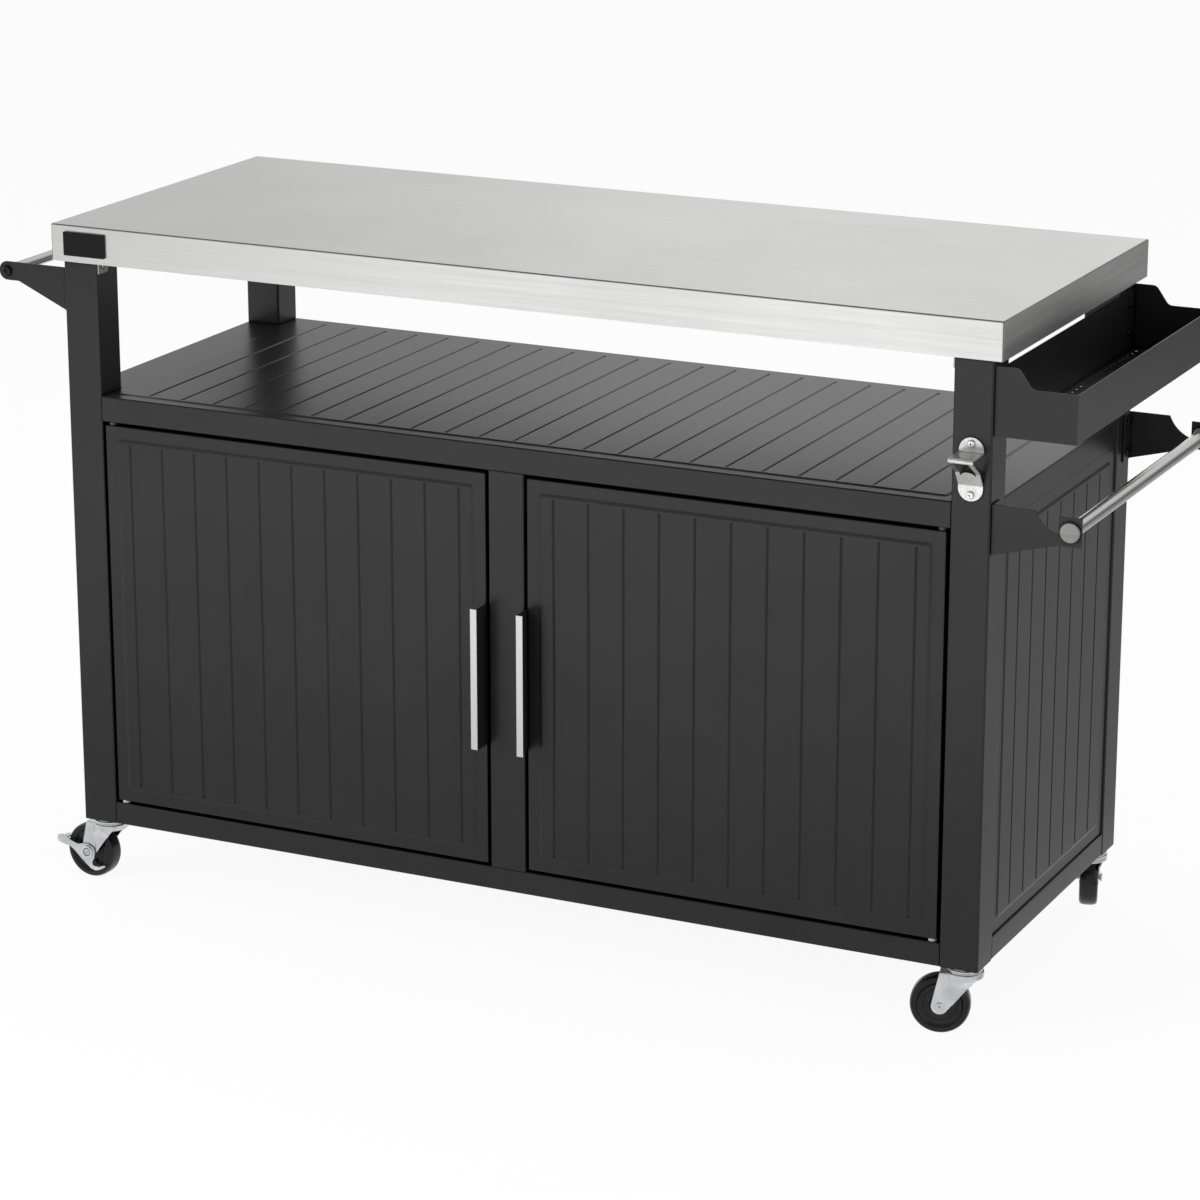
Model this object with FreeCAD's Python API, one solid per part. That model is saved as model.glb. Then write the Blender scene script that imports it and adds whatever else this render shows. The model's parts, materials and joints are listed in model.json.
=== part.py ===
"""Grill cart with a storage cabinet: stainless worktop, open shelf, two doors, four swivel casters.

Millimetres, +Z up. The cart is drawn about the middle of its legs, with the front towards -Y, and
is then moved so that the origin is the bottom centre of its bounding box.
"""
import FreeCAD, Part

import math
import os

Vector = FreeCAD.Vector
X_AXIS = Vector(1, 0, 0)
Y_AXIS = Vector(0, 1, 0)
Z_AXIS = Vector(0, 0, 1)

# Worktop
top_length = 1300.0
top_depth = 520.0
top_height = 900.0
top_sheet = 1.0
rim_height = 48.0
rim_return = 5.0
rim_radius = 2.0

# Frame
side_overhang = 13.0
front_overhang = 7.0
leg_size = 50.0
leg_wall = 1.2
leg_radius = 3.0
rail_depth = 25.0
rail_wall = 1.2
rail_radius = 1.5
rail_recess = 0.5
bottom_rail_height = 30.0
top_rail_height = 33.0
head_rail_height = 40.0
post_width = 49.0
shelf_bay_height = 176.0
plug_height = 25.0
plug_clearance = 0.1
stiffener_width = 40.0
stiffener_height = 30.0
stiffener_spacing = 700.0

# Pressed sheets
panel_sheet = 0.8
panel_border = 16.0
panel_slope = 4.0
panel_emboss = 1.2
field_radius = 6.0
groove_pitch = 48.0
groove_width = 4.0
groove_depth = 1.2
groove_edge = 12.0
groove_end = 3.0
panel_depth = 12.0
panel_clearance = 0.3
bend_radius = 1.2
shelf_field_inset = 10.0
panel_recess = 2.5

# Doors
door_depth = 20.0
door_side_gap = 4.5
door_end_gap = 4.4
pin_edge = 7.5
pin_setback = 8.0
pin_radius = 3.0
pin_grip = 14.0
pin_reach = 9.0
pin_head = 2.0
running_clearance = 0.05
bush_radius = 4.2
bush_floor = 1.0
bush_flange_radius = 5.3
bush_flange_gap = 0.3
pull_length = 185.0
pull_reach = 28.5
pull_sheet = 1.5
pull_lip = 9.2
pull_lap = 12.0
pull_drop = 4.0
strip_thickness = 0.8
magnet_width = 18.0
magnet_depth = 16.0
magnet_height = 46.0
magnet_gap = 0.3

# Side tray
tray_width = 102.0
tray_end_height = 84.0
tray_back_height = 78.0
tray_front_height = 60.0
tray_drop = 8.0
tray_setback = 4.0
tray_sheet = 1.2
tray_flat = 24.0
ogee_radius = 10.0
ogee_angle = 55.0
hole_radius = 3.0
hole_pitch = 16.0
hole_margin = 10.0

# Brackets on the legs
bracket_sheet = 2.0
bracket_setback = 4.0
bracket_flange = 22.0
screw_edge = 12.0

# Towel bar
towel_rise = 2.0
towel_plate_height = 62.0
towel_shoulder = 54.0
towel_neck = 83.0
towel_neck_drop = 27.0
towel_sag = 3.2
towel_reach = 98.0
towel_ear = 36.0
towel_ear_end = 14.0
towel_bar_radius = 9.0
towel_bar_wall = 1.0
collar_radius = 12.0
collar_length = 4.0
cap_radius = 12.5
cap_thickness = 4.0
cap_round = 1.4
cap_spigot = 15.0

# Left handle
handle_drop = 11.0
handle_plate_height = 57.0
handle_reach = 90.0
handle_end_radius = 12.3
handle_tube_radius = 7.0
handle_tube_wall = 1.0
handle_foot_reach = 73.0
handle_insert_spare = 4.0

# Screws
screw_radius = 2.5
screw_head_radius = 4.6
screw_head_height = 2.6
screw_length = 9.0
end_screw_radius = 4.0
end_screw_head_radius = 6.8
end_screw_head_height = 3.6
end_screw_length = 14.0
cross_width = 1.2
cross_length = 5.2
cross_depth = 1.4

# Clips under the worktop
clip_sheet = 1.5
clip_width = 22.0
clip_drop = 22.0
clip_lap = 20.0
clip_screw_drop = 12.0

# Bottle opener
opener_width = 31.0
opener_length = 77.0
opener_drop = 95.0
opener_sheet = 2.0
opener_flat_top = 17.5
opener_reach = 38.0
opener_nose = 6.0
opener_knee_reach = 13.5
opener_knee_drop = 40.0
opener_foot_drop = 57.5
opener_mouth = 20.0
opener_mouth_drop = 45.0
opener_arch = 5.5
opener_bend = 2.5
opener_nose_bend = 3.0
opener_soft_bend = 6.0
opener_screw_inset = 7.5

# Bare plate on the worktop rim
plate_length = 61.0
plate_height = 31.0
plate_thickness = 3.0
plate_inset = 20.0
plate_radius = 1.5

# Casters
wheel_radius = 37.5
wheel_width = 24.0
tread_chamfer = 2.0
hub_radius = 12.0
hub_width = 25.4
web_inner = 15.0
web_outer = 30.0
web_recess = 4.0
caster_trail = 29.0
fork_gap = 26.0
fork_sheet = 2.0
fork_end_radius = 10.5
fork_front = 30.0
fork_knee = 7.0
fork_knee_height = 66.0
fork_back = 19.0
crown_height = 79.0
crown_sheet = 2.5
race_radius = 23.5
race_neck_radius = 21.0
race_height = 3.5
neck_height = 2.0
race_gap = 0.3
race_top = 2.7
stem_radius = 5.0
rivet_radius = 8.0
rivet_height = 2.5
axle_radius = 4.0
axle_head_radius = 6.5
axle_head_height = 3.0
axle_head_round = 1.5
spacer_lap = 1.0
brake_sheet = 2.0
brake_gap = 0.3
pedal_length = 9.0
pedal_gap = 2.0
pedal_width = 22.0
pedal_lift = 10.0
pedal_corner = 4.0
front_left_angle = 175.0
front_right_angle = 196.0
rear_left_angle = 215.0
rear_right_angle = 108.0

# Outline of the brake lever about the axle, in wheel radii: backwards along the trail, and up
brake_outline = [
    (1.28, 0.17), (1.34, 0.30), (1.29, 0.42), (1.13, 0.47), (0.94, 0.44), (0.74, 0.31), (0.42, 0.22),
    (0.22, 0.28), (-0.04, 0.30), (-0.26, 0.20), (-0.34, 0.00), (-0.30, -0.20), (-0.20, -0.36),
    (-0.24, -0.48), (-0.48, -0.50), (-0.76, -0.39), (-0.80, -0.44), (-0.56, -0.58), (-0.36, -0.65),
    (-0.15, -0.61), (0.04, -0.47), (0.30, -0.27), (0.54, -0.06), (0.76, 0.08), (1.04, 0.12),
]

# Places that follow from the sizes above
leg_x = top_length / 2 - side_overhang
leg_y = top_depth / 2 - front_overhang
inner_x = leg_x - leg_size
inner_y = leg_y - leg_size
leg_mid_x = leg_x - leg_size / 2
leg_mid_y = leg_y - leg_size / 2
leg_top = top_height - top_sheet
rim_foot = top_height - rim_height
shelf_rail_top = rim_foot - shelf_bay_height
race_foot = crown_height + crown_sheet
leg_foot = race_foot + race_height + neck_height + race_gap + race_top
rail_x = leg_x - rail_recess
rail_y = leg_y - rail_recess
panel_x = leg_x - panel_recess
panel_y = leg_y - panel_recess
bottom_rail_top = leg_foot + bottom_rail_height
shelf_rail_foot = shelf_rail_top - top_rail_height
head_rail_foot = leg_top - head_rail_height
door_left = post_width / 2 + door_side_gap
door_right = inner_x - door_side_gap
door_foot = bottom_rail_top + door_end_gap
door_top = shelf_rail_foot - door_end_gap
pull_middle = (door_foot + door_top) / 2 - pull_drop
pin_x = door_right - pin_edge
pin_y = -rail_y + pin_setback
tray_top = rim_foot - tray_drop
tray_foot = tray_top - tray_end_height
tray_end = leg_y - tray_setback
bracket_face = leg_y - bracket_setback
towel_x = leg_x + towel_reach
towel_top = shelf_rail_top + towel_rise
towel_z = towel_top - towel_ear / 2 - (towel_plate_height - towel_ear) / 6
handle_x = -leg_x - handle_reach
handle_top = rim_foot - handle_drop
handle_z = handle_top - handle_end_radius
fork_half = fork_gap / 2
axle_reach = fork_half + fork_sheet + brake_gap + brake_sheet + brake_gap
opener_top = rim_foot - opener_drop


def box(x0, x1, y0, y1, z0, z1):
    """A block between two corners."""
    return Part.makeBox(x1 - x0, y1 - y0, z1 - z0, Vector(x0, y0, z0))


def cylinder(radius, length, base, direction):
    """A round bar from a base point along a direction."""
    return Part.makeCylinder(radius, length, base, direction)


def polygon(points):
    """A closed wire through plane points given as (first, second) pairs."""
    corners = [Vector(first, second, 0) for first, second in points]
    return Part.makePolygon(corners + corners[:1])


def bent_outline(corners):
    """A closed wire through (first, second, radius) corners, each rounded by its radius."""
    points = [Vector(first, second, 0) for first, second, radius in corners]
    edges = []
    last = None
    for index, here in enumerate(points):
        radius = corners[index][2]
        back = (points[index - 1] - here).normalize()
        ahead = (points[(index + 1) % len(points)] - here).normalize()
        half = back.getAngle(ahead) / 2
        start = here + back * (radius / math.tan(half))
        end = here + ahead * (radius / math.tan(half))
        if last:
            edges.append(Part.makeLine(last, start))
        else:
            first_start = start
        if radius:
            middle = here + (back + ahead).normalize() * (radius / math.sin(half) - radius)
            edges.append(Part.Arc(start, middle, end).toShape())
        last = end
    edges.append(Part.makeLine(last, first_start))
    return Part.Wire(edges)


def rounded_outline(width, height, radius, level=0.0):
    """A rectangle with round corners about the origin of the XY plane."""
    half_width = width / 2
    half_height = height / 2
    flat_x = half_width - radius
    flat_y = half_height - radius
    diagonal = radius * math.sqrt(0.5)
    edges = []
    for turn in range(4):
        east = turn % 2 == 0
        reach = half_width if east else half_height
        run = flat_y if east else flat_x
        side = flat_x if east else flat_y
        first = Vector(reach, -run, 0)
        second = Vector(reach, run, 0)
        middle = Vector(side + diagonal, run + diagonal, 0)
        third = Vector(side, run + radius, 0)
        spin = FreeCAD.Rotation(Z_AXIS, 90 * turn)
        lift = Vector(0, 0, level)
        points = [spin.multVec(point) + lift for point in (first, second, middle, third)]
        edges.append(Part.makeLine(points[0], points[1]))
        edges.append(Part.Arc(points[1], points[2], points[3]).toShape())
    return Part.Wire(edges)


def placed(shape, origin, across, up):
    """Carries a shape drawn on the XY plane onto the plane of two directions."""
    turn = FreeCAD.Rotation(across, up, across.cross(up), "ZXY")
    copy = shape.copy()
    copy.Placement = FreeCAD.Placement(origin, turn)
    return copy


def tube(width, height, wall, radius, length, origin, across, up):
    """A rectangular tube with round corners, drawn out along the normal of across and up."""
    outer = rounded_outline(width, height, radius)
    inner = rounded_outline(width - 2 * wall, height - 2 * wall, max(radius - wall, 0.3))
    section = Part.Face(outer).cut(Part.Face(inner))
    return placed(section.extrude(Vector(0, 0, length)), origin, across, up)


def plate(outline, thickness, origin, across, up):
    """A flat sheet with a closed outline, drawn out along the normal of across and up."""
    return placed(Part.Face(outline).extrude(Vector(0, 0, thickness)), origin, across, up)


def mirrored_x(shape):
    """The same shape on the other side of the cart."""
    return shape.mirror(Vector(0, 0, 0), X_AXIS)


def mirrored_y(shape):
    """The same shape at the other end of the cart's depth."""
    return shape.mirror(Vector(0, 0, 0), Y_AXIS)


def drilled(shape, radius, seats, depth):
    """Cuts a round hole through a wall at each (point, outward direction) seat."""
    for point, outward in seats:
        shape = shape.cut(cylinder(radius, 2 * depth, point + outward * depth, outward * -1))
    return shape


def screw(point, outward, radius, head_radius, head_height, length):
    """A pan head screw with a cross recess, seated with its head on a surface."""
    shank = cylinder(radius, length, Vector(0, 0, -length), Z_AXIS)
    head = cylinder(head_radius, head_height, Vector(0, 0, 0), Z_AXIS)
    rim = [edge for edge in head.Edges if abs(edge.CenterOfMass.z - head_height) < 1e-6]
    rim = [edge for edge in rim if edge.Length > 1]
    head = head.makeFillet(head_height * 0.55, rim)
    floor = head_height - cross_depth
    half = cross_length / 2
    width = cross_width / 2
    slot = box(-half, half, -width, width, floor, head_height + 1)
    other = box(-width, width, -half, half, floor, head_height + 1)
    body = shank.fuse(head).removeSplitter().cut(slot).cut(other)
    turn = FreeCAD.Rotation(Z_AXIS, outward)
    body.Placement = FreeCAD.Placement(point, turn)
    return body


def sheet_screw(point, outward):
    """One of the small screws that hold the fittings on the legs."""
    return screw(point, outward, screw_radius, screw_head_radius, screw_head_height, screw_length)


def raised_field(length, height, level):
    """The block under a pressed field: round corners below, drawn in by the slope above."""
    foot = rounded_outline(length, height, field_radius, level)
    shrink = 2 * panel_slope
    head_radius = field_radius - panel_slope / 2
    head = rounded_outline(length - shrink, height - shrink, head_radius, level + panel_emboss)
    return Part.makeLoft([foot, head], True, True)


def groove(position, height, level):
    """A V-shaped bar along the panel, point down, with its open side at a level."""
    half = groove_width / 2
    corners = [(-half, 0), (half, 0), (0, -groove_depth)]
    run = height / 2
    origin = Vector(position, run, level)
    return plate(polygon(corners), 2 * run, origin, X_AXIS, Z_AXIS)


def pressed(sheet, length, height):
    """Presses a raised field with grooves into a flat sheet whose outer face is at z = 0."""
    sheet = sheet.fuse(raised_field(length, height, 0)).cut(raised_field(length, height, -panel_sheet))
    pairs = int((length / 2 - groove_edge) // groove_pitch)
    places = [step * groove_pitch for step in range(-pairs, pairs + 1)]
    run = height - 2 * panel_slope - 2 * groove_end
    ridges = [groove(place, run, panel_emboss - panel_sheet) for place in places]
    cuts = [groove(place, run, panel_emboss) for place in places]
    return sheet.fuse(ridges).cut(cuts)


def pan(length, height, depth):
    """A pressed panel with folded edges, its border face on z = 0 and its folds behind."""
    block = box(-length / 2, length / 2, -height / 2, height / 2, -depth, 0)
    folds = [edge for edge in block.Edges if edge.BoundBox.ZMax > -1e-6]
    block = block.makeFillet(bend_radius, folds)
    wall = panel_sheet
    half_length = length / 2 - wall
    half_height = height / 2 - wall
    inner = box(-half_length, half_length, -half_height, half_height, -depth - 1, -wall)
    field_length = length - 2 * panel_border
    field_height = height - 2 * panel_border
    return pressed(block.cut(inner), field_length, field_height)


def worktop():
    """The stainless sheet: flat top, deep rim, and a return folded in at the rim's foot."""
    half_x = top_length / 2
    half_y = top_depth / 2
    block = box(-half_x, half_x, -half_y, half_y, rim_foot, top_height)
    rounds = [edge for edge in block.Edges if edge.BoundBox.ZMax > top_height - 1e-6]
    block = block.makeFillet(rim_radius, rounds)
    inner_half_x = half_x - top_sheet
    inner_half_y = half_y - top_sheet
    hollow = box(-inner_half_x, inner_half_x, -inner_half_y, inner_half_y, rim_foot + top_sheet, leg_top)
    mouth_x = inner_half_x - rim_return
    mouth_y = inner_half_y - rim_return
    mouth = box(-mouth_x, mouth_x, -mouth_y, mouth_y, rim_foot - 1, rim_foot + 2 * top_sheet)
    return block.cut(hollow).cut(mouth)


def leg():
    """The front right leg, a square tube from the caster to the worktop sheet."""
    origin = Vector(leg_mid_x, -leg_mid_y, leg_foot)
    return tube(leg_size, leg_size, leg_wall, leg_radius, leg_top - leg_foot, origin, X_AXIS, Y_AXIS)


def leg_plug():
    """The insert in the front right leg's foot, bored for the caster stem."""
    size = leg_size - 2 * leg_wall - 2 * plug_clearance
    outline = rounded_outline(size, size, leg_radius)
    block = plate(outline, plug_height, Vector(leg_mid_x, -leg_mid_y, leg_foot), X_AXIS, Y_AXIS)
    return block.cut(cylinder(stem_radius, plug_height, Vector(leg_mid_x, -leg_mid_y, leg_foot), Z_AXIS))


def long_rail(height, foot, front):
    """A rail between two legs along the front, flush with the cabinet's face."""
    origin = Vector(-inner_x, -front + rail_depth / 2, foot + height / 2)
    return tube(rail_depth, height, rail_wall, rail_radius, 2 * inner_x, origin, Y_AXIS, Z_AXIS)


def stiffener():
    """The right one of the two tubes under the worktop sheet, between the head rails."""
    origin = Vector(stiffener_spacing / 2, rail_y - rail_depth, leg_top - stiffener_height / 2)
    length = 2 * (rail_y - rail_depth)
    return tube(stiffener_width, stiffener_height, rail_wall, rail_radius, length, origin, X_AXIS, Z_AXIS)


def side_rail(height, foot):
    """A rail between the front right and rear right legs."""
    origin = Vector(rail_x - rail_depth / 2, inner_y, foot + height / 2)
    return tube(rail_depth, height, rail_wall, rail_radius, 2 * inner_y, origin, X_AXIS, Z_AXIS)


def centre_post():
    """The upright between the doors, from the bottom rail to the shelf rail."""
    length = shelf_rail_foot - bottom_rail_top
    origin = Vector(0, -rail_y + rail_depth / 2, bottom_rail_top)
    return tube(post_width, rail_depth, rail_wall, rail_radius, length, origin, X_AXIS, Y_AXIS)


def corner_notches(reach_x, reach_y, z0, z1):
    """Blocks that clear the four legs out of a full-width sheet."""
    near_x = inner_x - panel_clearance
    near_y = inner_y - panel_clearance
    block = box(near_x, reach_x, near_y, reach_y, z0, z1)
    return [block, mirrored_x(block), mirrored_y(block), mirrored_x(mirrored_y(block))]


def shelf_panel():
    """The pressed shelf on the shelf rails, notched round the legs."""
    sheet = box(-rail_x, rail_x, -rail_y, rail_y, -panel_sheet, 0)
    sheet = sheet.cut(corner_notches(leg_x, leg_y, -2 * panel_sheet, panel_sheet))
    field_length = 2 * (inner_x - shelf_field_inset)
    field_depth = 2 * (rail_y - panel_border)
    shelf = pressed(sheet, field_length, field_depth)
    return placed(shelf, Vector(0, 0, shelf_rail_top + panel_sheet), X_AXIS, Y_AXIS)


def floor_panel():
    """The cabinet's floor sheet, on the bottom rails and between the side and back panels."""
    side = panel_x - panel_depth - panel_clearance
    back = panel_y - panel_depth - panel_clearance
    front = rail_y - door_depth - panel_clearance
    top = bottom_rail_top + panel_sheet
    sheet = box(-side, side, -front, back, bottom_rail_top, top)
    half_post = post_width / 2 + panel_clearance
    post_back = -rail_y + rail_depth + panel_clearance
    notches = corner_notches(leg_x, leg_y, bottom_rail_top - 1, top + 1)
    notches.append(box(-half_post, half_post, -leg_y, post_back, bottom_rail_top - 1, top + 1))
    return sheet.cut(notches)


def side_panel():
    """The right side panel, between the right legs and the side rails."""
    length = 2 * (inner_y - panel_clearance)
    height = shelf_rail_foot - bottom_rail_top - 2 * panel_clearance
    middle = (shelf_rail_foot + bottom_rail_top) / 2
    return placed(pan(length, height, panel_depth), Vector(panel_x, 0, middle), Y_AXIS, Z_AXIS)


def back_panel():
    """The rear panel, between the rear legs and the rear rails."""
    length = 2 * (inner_x - panel_clearance)
    height = shelf_rail_foot - bottom_rail_top - 2 * panel_clearance
    middle = (shelf_rail_foot + bottom_rail_top) / 2
    return placed(pan(length, height, panel_depth), Vector(0, panel_y, middle), X_AXIS * -1, Z_AXIS)


def door_panel():
    """The right door: a pressed pan, bored in its folds for the hinge pins."""
    length = door_right - door_left
    height = door_top - door_foot
    middle = Vector((door_left + door_right) / 2, -rail_y, (door_foot + door_top) / 2)
    panel = placed(pan(length, height, door_depth), middle, X_AXIS, Z_AXIS)
    bore = cylinder(pin_radius, height + 2, Vector(pin_x, pin_y, door_foot - 1), Z_AXIS)
    return panel.cut(bore)


def hinge_pin():
    """The right door's lower pin: a head inside the fold and a shank down into the bush."""
    head = cylinder(pin_radius + pin_head, pin_head, Vector(pin_x, pin_y, door_foot + panel_sheet), Z_AXIS)
    length = pin_reach + door_end_gap + panel_sheet
    shank = cylinder(pin_radius, length, Vector(pin_x, pin_y, door_foot + panel_sheet - length), Z_AXIS)
    stub = cylinder(pin_radius, pin_grip, Vector(pin_x, pin_y, door_foot + panel_sheet), Z_AXIS)
    return shank.fuse([head, stub]).removeSplitter()


def flipped(shape):
    """Turns a lower hinge piece into the upper one, about the middle of the door's height."""
    return shape.mirror(Vector(0, 0, (door_foot + door_top) / 2), Z_AXIS)


def hinge_bush():
    """The flanged nylon bush in the bottom rail, under the right door's pin."""
    flange_height = door_end_gap - bush_flange_gap
    flange = cylinder(bush_flange_radius, flange_height, Vector(pin_x, pin_y, bottom_rail_top), Z_AXIS)
    depth = pin_reach + bush_floor
    barrel = cylinder(bush_radius, depth, Vector(pin_x, pin_y, bottom_rail_top - depth), Z_AXIS)
    length = depth + bush_floor + door_end_gap
    bore_start = Vector(pin_x, pin_y, bottom_rail_top - depth - bush_floor)
    bore = cylinder(pin_radius + running_clearance, length, bore_start, Z_AXIS)
    return flange.fuse(barrel).removeSplitter().cut(bore)


def bush_holes(shape):
    """Bores a rail for the bush barrels of both doors, above and below the doors."""
    depth = pin_reach + 2 * bush_floor
    for side in (-1, 1):
        for foot in (bottom_rail_top - depth, shelf_rail_foot - bush_floor):
            hole_start = Vector(side * pin_x, pin_y, foot)
            shape = shape.cut(cylinder(bush_radius, depth + bush_floor, hole_start, Z_AXIS))
    return shape


def door_pull():
    """The right door's angle pull on the door's inner edge, its lip towards the door's middle."""
    foot = pull_middle - pull_length / 2
    head = pull_middle + pull_length / 2
    front = -rail_y - pull_reach
    left = door_left - pull_sheet
    web = box(left, door_left, front, -rail_y + pull_lap, foot, head)
    lip = box(left, left + pull_lip, front, front + pull_sheet, foot, head)
    return web.fuse(lip).removeSplitter()


def pull_strip():
    """The bright strip on the front of the right door's pull."""
    foot = pull_middle - pull_length / 2
    front = -rail_y - pull_reach
    left = door_left - pull_sheet
    strip = box(left, left + pull_lip, front - strip_thickness, front, foot, foot + pull_length)
    rims = [edge for edge in strip.Edges if edge.BoundBox.YMax < front - strip_thickness + 1e-6]
    return strip.makeFillet(strip_thickness * 0.6, rims)


def magnet_catch():
    """The right door's magnet block on the side of the centre post, behind the door's fold."""
    left = post_width / 2
    front = -rail_y + door_depth + magnet_gap
    foot = pull_middle - magnet_height / 2
    return box(left, left + magnet_width, front, front + magnet_depth, foot, foot + magnet_height)


def ogee_run():
    """How far the tray's S-shaped step goes outwards while it drops."""
    angle = math.radians(ogee_angle)
    drop = tray_end_height - tray_front_height
    straight = (drop - 2 * ogee_radius * (1 - math.cos(angle))) / math.sin(angle)
    return 2 * ogee_radius * math.sin(angle) + straight * math.cos(angle)


def tray_outline():
    """The tray's end plate, with the step as two arcs and a straight between them."""
    angle = math.radians(ogee_angle)
    half = angle / 2
    high = tray_end_height
    low = tray_front_height
    end = tray_flat + ogee_run()
    top_centre = Vector(tray_flat, high - ogee_radius, 0)
    foot_centre = Vector(end, low + ogee_radius, 0)

    def on_arc(centre, turn, sign):
        return centre + Vector(math.sin(turn), math.cos(turn), 0) * ogee_radius * sign

    first = on_arc(top_centre, angle, 1)
    second = on_arc(foot_centre, angle, -1)
    edges = [
        Part.makeLine(Vector(0, 0, 0), Vector(tray_width, 0, 0)),
        Part.makeLine(Vector(tray_width, 0, 0), Vector(tray_width, low, 0)),
        Part.makeLine(Vector(tray_width, low, 0), Vector(end, low, 0)),
        Part.Arc(Vector(end, low, 0), on_arc(foot_centre, half, -1), second).toShape(),
        Part.makeLine(second, first),
        Part.Arc(first, on_arc(top_centre, half, 1), Vector(tray_flat, high, 0)).toShape(),
        Part.makeLine(Vector(tray_flat, high, 0), Vector(0, high, 0)),
        Part.makeLine(Vector(0, high, 0), Vector(0, 0, 0)),
    ]
    return Part.Wire(edges)


def tray_screw_seats():
    """Where the tray is screwed to the right legs, from inside the tray."""
    heights = (tray_top - 2 * screw_edge, tray_foot + 2 * screw_edge)
    places = [Vector(leg_x + tray_sheet, side * leg_mid_y, height) for side in (-1, 1) for height in heights]
    return [(place, X_AXIS) for place in places]


def side_tray():
    """The welded tray on the right legs: back, front and end plates about a perforated floor."""
    outer_x = leg_x + tray_width
    end = tray_end - tray_sheet
    back = box(leg_x, leg_x + tray_sheet, -end, end, tray_foot, tray_foot + tray_back_height)
    back = drilled(back, screw_radius, tray_screw_seats(), tray_sheet)
    floor = box(leg_x + tray_sheet, outer_x - tray_sheet, -end, end, tray_foot, tray_foot + tray_sheet)
    front = box(outer_x - tray_sheet, outer_x, -end, end, tray_foot, tray_foot + tray_front_height)
    near = plate(tray_outline(), tray_sheet, Vector(leg_x, -end, tray_foot), X_AXIS, Z_AXIS)
    far = plate(tray_outline(), tray_sheet, Vector(leg_x, tray_end, tray_foot), X_AXIS, Z_AXIS)
    columns = int((tray_width - 2 * hole_margin) // hole_pitch)
    rows = int((2 * tray_end - 2 * hole_margin) // hole_pitch)
    holes = []
    for column in range(columns + 1):
        for row in range(rows + 1):
            x = leg_x + tray_width / 2 + (column - columns / 2) * hole_pitch
            y = (row - rows / 2) * hole_pitch
            holes.append(cylinder(hole_radius, 3 * tray_sheet, Vector(x, y, tray_foot - tray_sheet), Z_AXIS))
    return Part.makeCompound([back, floor.cut(holes), front, near, far])


def flange_seats(side, top, height):
    """Screw seats on the flange of a bracket on the front leg of one side."""
    x = side * (leg_x + bracket_sheet)
    y = -bracket_face + bracket_sheet + bracket_flange - screw_edge
    heights = (top - screw_edge, top - height + screw_edge)
    return [(Vector(x, y, z), X_AXIS * side) for z in heights]


def flange(side, top, height):
    """The part of a bracket that lies against the front leg of one side."""
    near = side * leg_x
    far = side * (leg_x + bracket_sheet)
    front = -bracket_face
    back = front + bracket_sheet + bracket_flange
    return box(min(near, far), max(near, far), front, back, top - height, top)


def towel_bracket():
    """The front bracket of the towel bar, cut in below its shoulder and squared round the bar."""
    foot = -towel_plate_height
    ear_top = towel_z + towel_ear / 2 - towel_top
    ear_foot = towel_z - towel_ear / 2 - towel_top
    tip = towel_reach + towel_ear_end
    shoulder = Vector(towel_shoulder, 0, 0)
    neck = Vector(towel_neck, -towel_neck_drop, 0)
    sag = (shoulder + neck) * 0.5 - Vector(towel_sag, towel_sag, 0)
    points = [
        neck,
        Vector(towel_neck, ear_top, 0),
        Vector(tip, ear_top, 0),
        Vector(tip, ear_foot, 0),
        Vector(towel_neck, ear_foot, 0),
        Vector(0, foot, 0),
        Vector(0, 0, 0),
        shoulder,
    ]
    edges = [Part.makeLine(first, second) for first, second in zip(points, points[1:])]
    edges.append(Part.Arc(shoulder, sag, neck).toShape())
    origin = Vector(leg_x, -bracket_face + bracket_sheet, towel_top)
    arm = plate(Part.Wire(edges), bracket_sheet, origin, X_AXIS, Z_AXIS)
    bracket = arm.fuse(flange(1, towel_top, towel_plate_height)).removeSplitter()
    spigot = towel_bar_radius - towel_bar_wall
    axis = [(Vector(towel_x, -bracket_face, towel_z), Y_AXIS * -1)]
    bracket = drilled(bracket, spigot, axis, bracket_sheet * 2)
    return drilled(bracket, screw_radius, flange_seats(1, towel_top, towel_plate_height), bracket_sheet)


def towel_bar():
    """The stainless tube between the brackets, with a collar at each end."""
    half = bracket_face - bracket_sheet
    start = Vector(towel_x, -half, towel_z)
    bar = cylinder(towel_bar_radius, 2 * half, start, Y_AXIS)
    near = cylinder(collar_radius, collar_length, start, Y_AXIS)
    far = cylinder(collar_radius, collar_length, Vector(towel_x, half - collar_length, towel_z), Y_AXIS)
    bore = cylinder(towel_bar_radius - towel_bar_wall, 2 * half, start, Y_AXIS)
    return bar.fuse([near, far]).removeSplitter().cut(bore)


def towel_cap():
    """The front end cap of the towel bar: a round face outside and a spigot into the tube."""
    front = -bracket_face - cap_thickness
    face = cylinder(cap_radius, cap_thickness, Vector(towel_x, front, towel_z), Y_AXIS)
    rim = [edge for edge in face.Edges if edge.BoundBox.YMax < front + 1e-3]
    face = face.makeFillet(cap_round, rim)
    spigot_length = bracket_sheet + cap_spigot
    spigot = towel_bar_radius - towel_bar_wall
    stub = cylinder(spigot, spigot_length, Vector(towel_x, -bracket_face, towel_z), Y_AXIS)
    return face.fuse(stub).removeSplitter()


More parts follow.
